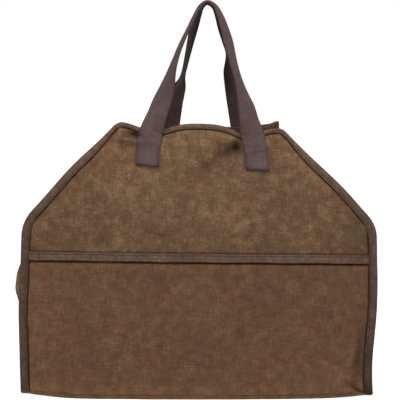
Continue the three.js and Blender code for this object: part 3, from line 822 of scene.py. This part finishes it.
# Folded tapes: the faces' edges, the tops of the end panels and the ends of the bottom
tapeFold = {
    "snug": 0.15, "puff": 0.6, "puffIn": 4.8, "puffReach": 3.0, "foldStart": 1.6, "stitchIn": 2.6,
    "ripple": 0.36, "sewn": 0.3, "lip": 0.35, "legSteps": 17, "foldSteps": 8,
    # Painted shade along the stitched line, at the free edge, on the upright sides and in the right
    # bottom corner, and painted light on the front's top edge
    "sewnShade": 0.5, "lipShade": 0.4, "sideShade": 0.3, "cornerShade": 0.3, "footShade": 0.5,
    "topLight": 0.28, "wearAndLightFrom": 325,
}


def foldSection():
    # Closed section of a tape folded over an edge. Columns: distance in from the edge, side from
    # 1 in front to -1 behind, and 1 on the tape's outer surface. The legs are flat, and between
    # them each surface is half an ellipse.
    rows = []
    legSteps, foldSteps = tapeFold["legSteps"], tapeFold["foldSteps"]
    for outside, past in ((1, tapeReach), (0, clearance)):
        leg = np.linspace(tapeWidth, tapeFold["foldStart"], legSteps)
        angle = np.linspace(math.pi / 2, -math.pi / 2, foldSteps + 2)[1:-1]
        fold = tapeFold["foldStart"] - (tapeFold["foldStart"] + past) * np.cos(angle)
        across = np.concatenate([leg, fold, leg[::-1]])
        sides = np.concatenate([np.ones(legSteps), np.sin(angle), -np.ones(legSteps)])
        rows.append(np.stack([across, sides, np.full(len(across), outside)], axis=-1))
    return np.concatenate([rows[0], rows[1][::-1]])


def tapeRipple(seed, run):
    return tapeFold["ripple"] * waves(seed, run, 0 * run, (9, 15, 24))


def tapeHeights(section, frontHeight, backHeight, ripple):
    # Height over the middle of the cloth: the way from the back leg to the front one by the side,
    # plus the tape's thickness on its outer surface and its fullness between stitching and fold,
    # less the line that the stitches pull in
    across, sides, outside = section.T
    middle, half = (frontHeight + backHeight) / 2, (frontHeight - backHeight) / 2
    full = tapeFold["puff"] * bell(across - tapeFold["puffIn"], tapeFold["puffReach"])
    full = full * (1 + ripple)
    sewn = bell(across - tapeWidth + tapeFold["stitchIn"], 1.1)
    lip = bell(across - tapeWidth, 0.9)
    full = full - tapeFold["sewn"] * sewn + tapeFold["lip"] * lip
    return middle + sides * (half + tapeThickness * outside + full)


def addTape(place, body, run, *wearAndShading):
    # The back leg lies beside the front one on the flat tape
    section = foldSection()
    flat = layOf(run, section[:, 0] + (tapeWidth + 2) * (section[:, 1] < 0))
    mesh = sectionMesh(f"{place}_tape", (body, flat, *wearAndShading))
    return addPiece(f"{place}_tape", mesh, tapeMaterial, [f"{place}_binding"])


def wholeEdge(inset, low):
    # The panel's edge from the left bottom corner over the top to the right one
    line = edgeLine(inset, low)
    return np.concatenate([line * [-1, 1], line[-2::-1]])


def addEdgeBinding(side, face):
    outer, inner = wholeEdge(0, 1.2), wholeEdge(tapeWidth, 1.2)
    x, z = outer[:, :1], outer[:, 1:]
    section = foldSection()
    showing = tapeReachAt(x, z) / tapeWidth
    inFront = (section[:, 1] > 0) & (section[:, 0] > 0)
    share = (np.where(inFront, showing, 1) * section[:, 0] / tapeWidth)[..., None]
    place = mix(outer[:, None], inner[:, None], share)
    run = walked(outer)[:, None]
    snug = halfCanvas + tapeFold["snug"]
    lapped = rising(endHeight + 4 - z, 1.5) * flangeDepth
    height = tapeHeights(section, snug, -snug - lapped, tapeRipple(face["seed"] + 3, run))
    body = onFace(face, place[..., 0], place[..., 1], height)
    # Painted shade along the stitched line, at the free edge, on the upright sides and in the right
    # bottom corner
    sewn = tapeFold["sewnShade"] * bell(section[:, 0] - tapeWidth + tapeFold["stitchIn"], 0.7)
    lip = tapeFold["lipShade"] * bell(section[:, 0] - tapeWidth, 0.8)
    upright = tapeFold["sideShade"] * rising(shoulderHeight + 12 - z, 12)
    corner = tapeFold["cornerShade"] * np.exp(-((z / 75) ** 4)) + tapeFold["footShade"] * bell(z, 6)
    dark = np.minimum((sewn + lip) * showing + upright + (x > 0) * corner, 1)
    # Painted light on the front's top edge
    if face is front:
        dark = dark - tapeFold["topLight"] * rising(z - tapeFold["wearAndLightFrom"], 8)
    return addTape(f"{side}_edge", body, run, layOf(dark, 0))


def addEndBinding(side, end):
    share = np.linspace(0, 1, 100)[:, None]
    section = foldSection()
    snug = halfCanvas + tapeFold["snug"]
    height = tapeHeights(section, snug, -snug, tapeRipple(end["sign"] + 40, share * endRun))
    body = endWall(end, *np.broadcast_arrays(share, endHeight - section[:, 0]), height)
    return addTape(f"{side}_end", body, share * endRun)


def addBaseBinding(side, end):
    share = np.linspace(0, 1, 90)[:, None]
    section = foldSection()
    stack = canvasThickness + floorEdge + tapeFold["snug"]
    height = np.maximum(tapeHeights(section, stack, -0.05, 0 * share), 0)
    out = -flangeDepth - halfCanvas - clearance
    x = end["sign"] * (halfWidth - section[:, 0])
    body = between(*np.broadcast_arrays(x, height, out), share * np.ones_like(height))
    return addTape(f"{side}_base", body, share * endRun)


for side, face in faces.items():
    addEdgeBinding(side, face)
for addBinding in (addEndBinding, addBaseBinding):
    for side, end in ends.items():
        addBinding(side, end)
print("tapes are made")


# Raised strip over the cross seam
stripLook = {"thickness": 1.7, "lip": 0.9, "lipPlace": -0.72, "sewn": 0.7, "stitches": (0.5, -0.3),
             "wave": 0.5, "rows": 27, "sewnShade": 0.6, "edgeShade": 0.5, "edgeFrom": 0.94}


def stripHeightAt(share):
    # Height of the strip's outer surface over the share up from its middle: rounded at both edges,
    # fuller towards the lower one, and pulled in along the upper stitches
    full = stripLook["thickness"] + stripLook["lip"] * bell(share - stripLook["lipPlace"], 0.4)
    full = full - stripLook["sewn"] * bell(share - stripLook["stitches"][0], 0.16)
    return halfCanvas + 0.1 + full * np.maximum(1 - np.abs(share) ** 9, 0) ** 0.5


def addStrip(side, face):
    reach = halfWidth - tapeWidth + 1.5
    x = spaced(-reach, reach, clothGrid["step"])[:, None]
    share = np.cos(np.linspace(0, math.pi, stripLook["rows"]))
    wave = stripLook["wave"] * waves(face["seed"] + 7, x, 0 * x, (31, 47, 83)) * (share < 0)
    z = stripMiddle(x) + (share * stripHeight / 2) + wave * -share
    outer = onFace(face, x, z, stripHeightAt(share))
    inner = onFace(face, x, z, halfCanvas - 0.4)
    flat = twoSided(layOf(x, z), layOf(x, z))
    # Painted shade along the upper stitches and at both edges of the strip
    dark = stripLook["sewnShade"] * bell(share - stripLook["stitches"][0], 0.1)
    dark = dark + stripLook["edgeShade"] * (np.abs(share) > stripLook["edgeFrom"])
    wearAndShading = layOf(dark + 0 * x, 0)
    name = f"{side}_seam_strip"
    mesh = sectionMesh(name, (twoSided(outer, inner), flat, twoSided(wearAndShading, wearAndShading)))
    return addPiece(name, mesh, tapeMaterial, [f"{side}_seam_band"])


strips = {side: addStrip(side, face) for side, face in faces.items()}
print("seam strips are made")


# Webbing handles. Legs: share of the rise, share of the way out, degrees out of the face's plane.
# For the left and the right patch: splay is the way outwards in strap widths, drop how much lower
# its end is, tilt how much lower its outer corner is, and patches the height of its square.
# Inner is the inner side's shade at the foot and at the top, shadow the dark of its far edge.
handles = {
    "front": {
        "face": front, "splay": (0.18, 0.22), "drop": (0.5, 3.4), "tilt": (0.8, 2.0),
        "patches": (34, 28.5), "inner": (0.8, 1.4), "shadow": 0.4,
        "left": [(0.1, 0.925, 26), (0.22, 0.825, 34), (0.34, 0.728, 50), (0.45, 0.66, 67),
                 (0.56, 0.58, 76), (0.68, 0.47, 80), (0.8, 0.335, 84), (0.9, 0.222, 86),
                 (0.97, 0.122, 88)],
        "right": [(0.1, 0.945, 32), (0.2, 0.885, 43), (0.3, 0.805, 60), (0.4, 0.72, 70),
                  (0.5, 0.635, 72), (0.6, 0.56, 70), (0.7, 0.485, 66), (0.8, 0.405, 70),
                  (0.9, 0.3, 75), (0.97, 0.18, 82)],
    },
    "back": {
        "face": back, "splay": (0.1, 0.12), "drop": (0, 0), "tilt": (0, 0),
        "patches": (29, 31), "inner": (-0.4, 0.7), "shadow": 0.95,
        "left": [(0.1, 0.935, 21), (0.2, 0.865, 33), (0.28, 0.78, 46), (0.35, 0.705, 58),
                 (0.42, 0.635, 79), (0.5, 0.57, 82), (0.68, 0.445, 76), (0.8, 0.35, 72),
                 (0.9, 0.24, 78), (0.97, 0.125, 88)],
        "right": [(0.1, 0.925, 20), (0.22, 0.84, 30), (0.34, 0.755, 41), (0.45, 0.685, 52),
                  (0.54, 0.64, 74), (0.6, 0.61, 82), (0.68, 0.555, 76), (0.8, 0.44, 72),
                  (0.9, 0.32, 79), (0.97, 0.18, 88)],
    },
}
strapLook = {"perPoint": 9, "patchRows": 60, "edgeSteps": 4, "flatSteps": 16, "cup": 2.4,
             "hemThickness": 1.1, "closed": 0.35, "stitchIn": 2.6, "sewn": 0.6, "line": 0.7,
             "topLine": 0.55, "lineDark": 0.8, "edge": 0.3, "edgeWidth": 1.8}


def throughPoints(points, at):
    # Smooth curve through points: each stretch is the cubic whose end speeds come from the
    # neighbours, timed by the square root of the distances
    padded = np.concatenate([[2 * points[0] - points[1]], points, [2 * points[-1] - points[-2]]])
    i = np.clip(np.floor(at).astype(int), 0, len(points) - 2)
    w = (at - i)[:, None]
    p0, p1, p2, p3 = (padded[i + k] for k in range(4))
    d0, d1, d2 = (np.sqrt(np.linalg.norm(b - a, axis=1, keepdims=True))
                  for a, b in ((p0, p1), (p1, p2), (p2, p3)))
    speed1 = d1 * ((p1 - p0) / d0 - (p2 - p0) / (d0 + d1) + (p2 - p1) / d1)
    speed2 = d1 * ((p2 - p1) / d1 - (p3 - p1) / (d1 + d2) + (p3 - p2) / d2)
    cubic = 2 * p1 - 2 * p2 + speed1 + speed2
    square = -3 * p1 + 3 * p2 - 2 * speed1 - speed2
    point = p1 + w * (speed1 + w * (square + w * cubic))
    pace = speed1 + w * (2 * square + 3 * w * cubic)
    return point, unit(pace)


def strapSection():
    # Closed section of webbing: flat top and bottom, half round at the two edges. Columns:
    # sideways and through, from -1 to 1
    edgeSteps, flatSteps = strapLook["edgeSteps"], strapLook["flatSteps"]
    roundShare = webbingThickness / webbingWidth
    flat = np.linspace(-1 + roundShare, 1 - roundShare, flatSteps)
    angle = np.linspace(math.pi / 2, -math.pi / 2, edgeSteps + 2)[1:-1]
    top = np.stack([flat, np.ones(flatSteps)], axis=-1)
    right = np.stack([1 - roundShare + roundShare * np.cos(angle), np.sin(angle)], axis=-1)
    half = edgeSteps // 2
    return np.concatenate([(right * [-1, 1])[:half][::-1], top, right, (top * [1, -1])[::-1],
                           (right * [-1, 1])[half:][::-1]])


def patchPlace(foot, across, share):
    # Place on the flat pattern: down from the top edge to the patch's end, which tilts, and
    # sideways by the way out times one minus the squared share that is left
    tilt = foot["drop"] + foot["tilt"] * across / (webbingWidth / 2)
    z = mix(panelHeight + tapeReach, panelHeight - patchDrop, share) - tilt * share
    return mix(foot["edgeX"], foot["endX"], 1 - (1 - share) ** 2) + across, z


def patchRest(z):
    # Height of the middle of the webbing where it lies on the face: over the tape, then on canvas
    onTape = tapeOutside + clearance + webbingThickness / 2
    onCanvas = halfCanvas + 0.15 + webbingThickness / 2
    return mix(onCanvas, onTape, rising(z - panelHeight + tapeWidth + 4, 1.2))


def toPatchEnd(share):
    return (1 - share) * (patchDrop + tapeReach)


def hemHeight(toEnd, foot):
    # The webbing lies double below the upper line of the square
    return strapLook["hemThickness"] * rising(foot["patch"] - 1 - toEnd, 0.6)


def addHandle(side, look):
    face = look["face"]
    sign = face["sign"]
    apex = np.array([apexShift, sign * (webbingWidth + handleGap) / 2, panelHeight + handleRise])
    feet = []
    legs = zip((-1, 1), look["splay"], look["drop"], look["tilt"], look["patches"])
    for direction, splay, drop, tilt, patch in legs:
        edgeX = face["shift"] + direction * face["spread"] / 2
        top = panelHeight + tapeReach
        foot = onFace(face, edgeX, top, patchRest(top))
        feet.append({"direction": direction, "edgeX": edgeX, "foot": foot,
                     "endX": edgeX + direction * splay * webbingWidth, "drop": drop, "tilt": tilt,
                     "patch": patch})
    controls, turns = [], []
    for foot, rows in zip(feet, (look["left"], look["right"])):
        start, own, angles = foot["foot"], [foot["foot"]], [0]
        for rise, spread, turn in rows:
            own.append(np.array([mix(apex[0], start[0], spread), *mix(start[1:], apex[1:], rise)]))
            angles.append(turn)
        if foot["direction"] < 0:
            controls, turns = own + [apex], angles + [90]
        else:
            controls, turns = controls + own[::-1], turns + [180 - turn for turn in angles[::-1]]
    count = len(controls) - 1
    at = np.linspace(0, count, count * strapLook["perPoint"] + 1)[1:-1]
    centre, tangent = throughPoints(np.array(controls), at)
    turn = np.radians(along(list(enumerate(turns)), at))
    width = np.stack([-sign * np.cos(turn), -np.sin(turn), 0 * turn], axis=-1)
    width = unit(width - tangent * np.sum(width * tangent, axis=-1, keepdims=True))
    normal = np.cross(width, tangent)
    section = strapSection()
    lateral = section[:, 0] * webbingWidth / 2
    through = section[:, 1] * webbingThickness / 2
    cupped = np.sin(math.pi * np.arange(1, len(at) + 1) / (len(at) + 1))[:, None] ** 0.5
    cupped = strapLook["cup"] * cupped * (0.4 - section[:, 0] ** 2)[None, :]
    free = (centre[:, None] + width[:, None] * lateral[None, :, None]
            + normal[:, None] * (through + cupped)[..., None])
    bodies, lineRows = [], []
    for foot in feet:
        share = np.linspace(0, 1, strapLook["patchRows"] + 1)[:, None]
        x, z = patchPlace(foot, foot["direction"] * sign * lateral, share)
        toEnd = toPatchEnd(share) + 0 * z
        top = bell(toEnd - foot["patch"], 0.7)
        # Darker stitch lines, and painted shadow on the last millimetre under the patch's folded end
        low = bell(toEnd - strapLook["stitchIn"], 0.8) + 1.3 * (toEnd < 1)
        beside = bell(np.abs(lateral) - webbingWidth / 2 + strapLook["stitchIn"], 0.7)
        square = np.maximum(low, beside * (toEnd < foot["patch"]))
        lines = np.maximum(strapLook["topLine"] * top, strapLook["line"] * square)
        closing = np.clip(toEnd, 0, 1) ** 0.5
        outer = (hemHeight(toEnd, foot) - strapLook["sewn"] * lines) * (section[:, 1] > 0) * closing
        height = patchRest(z) + through * mix(strapLook["closed"], 1, closing) + outer
        bodies.append(onFace(face, x, z, height))
        lineRows.append(lines)
    body = np.concatenate([bodies[0][::-1], free, bodies[1]])
    lines = np.concatenate([lineRows[0][::-1], 0 * free[..., 0], lineRows[1]])
    selvage = np.abs(lateral) > webbingWidth / 2 - strapLook["edgeWidth"]
    dark = strapLook["lineDark"] * lines + strapLook["edge"] * selvage
    middle = body.mean(axis=1)
    run = walked(middle)[:, None]
    # Painted shade: the inner side is darker high up, and near its far edge, where the webbing is
    # cupped
    rise = np.clip((middle[:, 2:] - panelHeight + 20) / handleRise, 0, 1)
    inner = section[None, :, 1] < 0
    flat = layOf(lateral[None, :], run, inner * mix(*look["inner"], rise))
    far = np.clip(0.5 - 1.2 * section[None, :, 0], 0, 1) * np.clip((rise - 0.3) / 0.2, 0, 1)
    dark = dark + look["shadow"] * far * inner
    name = f"{side}_strap"
    mesh = sectionMesh(name, (body, flat, layOf(dark, 0)))
    strap = addPiece(name, mesh, webbingMaterial, [f"{side}_handle"])
    return strap, feet, float(run[-1, 0])


straps = {side: addHandle(side, look) for side, look in handles.items()}
print("handles are made, lengths", [round(strap[2]) for strap in straps.values()])


# Stitches, as short bowed threads along rows
stitchLook = {"pitch": 3.6, "share": 0.72, "thick": 0.5, "rise": 0.22, "slant": 4,
              "rings": 5, "around": 5}


def rowOnFace(face, x, z, height):
    # A row's places and outward directions on a face, from small steps on the pattern
    place = onFace(face, x, z, height)
    across = onFace(face, x + 0.5, z, height) - onFace(face, x - 0.5, z, height)
    upward = onFace(face, x, z + 0.5, height) - onFace(face, x, z - 0.5, height)
    outward = unit(np.cross(across, upward))
    flip = np.sign(outward[:, 1] * face["sign"] * np.sign(height))
    return place, outward * flip[:, None]


def stitchesAlong(place, outward):
    # One stitch at each pitch of the row: a bowed thread that dips into the cloth at both ends,
    # as rings of points
    run = walked(place)
    count = max(1, int(run[-1] / stitchLook["pitch"]))
    at = (np.arange(count) + 0.5) * run[-1] / count
    centre, normal = (np.stack([np.interp(at, run, values[:, k]) for k in range(3)], axis=-1)
                      for values in (place, outward))
    ahead = np.stack([np.interp(at + 0.5, run, place[:, k]) - np.interp(at - 0.5, run, place[:, k])
                      for k in range(3)], axis=-1)
    normal, ahead = unit(normal), unit(ahead)
    beside = unit(np.cross(normal, ahead))
    slant = math.radians(stitchLook["slant"])
    ahead, beside = (ahead * math.cos(slant) + beside * math.sin(slant),
                     beside * math.cos(slant) - ahead * math.sin(slant))
    t = np.linspace(-1, 1, stitchLook["rings"])[:, None]
    angle = np.linspace(0, 2 * math.pi, stitchLook["around"] + 1)[:-1][None, :]
    radius = stitchLook["thick"] / 2 * (1 - 0.35 * t * t)
    lengthwise = t * stitchLook["pitch"] * stitchLook["share"] / 2 + 0 * angle
    sideways = radius * np.cos(angle)
    upward = radius * np.sin(angle) + stitchLook["rise"] * (1 - 1.9 * t * t)
    parts = [values[None, ..., None] * axis[:, None, None]
             for values, axis in ((lengthwise, ahead), (sideways, beside), (upward, normal))]
    points = centre[:, None, None] + sum(parts)
    lay = np.broadcast_to(layOf(lengthwise, angle * 0.1), points.shape)
    return points, lay


def addStitches(name, rows):
    # All rows as one piece: side faces between rings, and one face at each tip
    made = [stitchesAlong(*row) for row in rows]
    points, lay = (np.concatenate([part[k] for part in made]) for k in range(2))
    count, rings, around = points.shape[:3]
    ring = np.arange(rings * around).reshape(rings, around)
    turned = np.roll(ring, -1, axis=1)
    sides = np.stack([ring[:-1], turned[:-1], turned[1:], ring[1:]], axis=-1).reshape(-1, 4)
    tips = np.stack([ring[0][::-1], ring[-1]])
    start = (np.arange(count) * ring.size)[:, None, None]
    faces = [(sides[None] + start).reshape(-1, 4), (tips[None] + start).reshape(-1, around)]
    first = (points[0] - points[0].mean(axis=(0, 1))).reshape(-1, 3)[sides]
    volume = np.sum(first[:, 0] * np.cross(first[:, 1], first[:, 2]))
    if volume < 0:
        faces = [block[:, ::-1] for block in faces]
    mesh = buildMesh(name, points.reshape(-1, 3), faces, {"lay": lay.reshape(-1, 3)})
    print(name, "has", count, "stitches")
    return addPiece(name, mesh, threadMaterial)


def faceRows(side, face):
    # Along the tape in front and behind, the strip, the bottom's lip and round the patches
    edges = [wholeEdge(inset, 3) for inset in (0, tapeWidth)]
    inward = (tapeWidth - tapeFold["stitchIn"]) / tapeWidth
    showing = tapeReachAt(*edges[0].T)[:, None] / tapeWidth
    tapeTop = halfCanvas + tapeFold["snug"] + tapeThickness - tapeFold["sewn"] + 0.05
    inFront, behind = mix(*edges, inward * showing), mix(*edges, inward)
    behind = behind[behind[:, 1] > endHeight + 6]
    rows = [rowOnFace(face, *inFront.T, tapeTop), rowOnFace(face, *behind.T, -tapeTop)]
    reach = halfWidth - tapeWidth - 1
    x = spaced(-reach, reach, 3)
    for share in stripLook["stitches"]:
        z = stripMiddle(x) + share * stripHeight / 2
        rows.append(rowOnFace(face, x, z, stripHeightAt(share)))
    lipTop = halfCanvas + clearance + canvasThickness
    rows.append(rowOnFace(face, x, np.full_like(x, bottomLook["stitchUp"]), lipTop))
    half = webbingWidth / 2 - strapLook["stitchIn"]
    for foot in straps[side][1]:
        low = 1 - strapLook["stitchIn"] / (patchDrop + tapeReach)
        high = 1 - foot["patch"] / (patchDrop + tapeReach)
        corners = [(-half, low), (half, low), (half, high), (-half, high), (-half, low)]
        for start, end in zip(corners[:-1], corners[1:]):
            across, share = np.linspace(start, end, 14).T
            x, z = patchPlace(foot, across, share)
            height = patchRest(z) + webbingThickness / 2 + hemHeight(toPatchEnd(share), foot)
            rows.append(rowOnFace(face, x, z, height))
    return rows


def endRows():
    rows = []
    for end in ends.values():
        share = np.linspace(0.01, 0.99, 90)
        z = np.full_like(share, endHeight - tapeWidth + tapeFold["stitchIn"])
        top = halfCanvas + tapeFold["snug"] + tapeThickness + 0.1
        for height in (top, -top):
            place = endWall(end, share, z, height)
            outward = np.zeros_like(place)
            outward[:, 0] = end["sign"] * np.sign(height)
            rows.append((place, outward))
    return rows


threads = {side: addStitches(f"{side}_stitches", faceRows(side, face))
           for side, face in faces.items()}
threads["ends"] = addStitches("end_stitches", endRows())
print("stitches are made")


# Each side's panels and strap with its feet and length, taken out of their tables
for side in ("front", "back"):
    lower, upper = panels[side]
    strap, feet, length = straps[side]
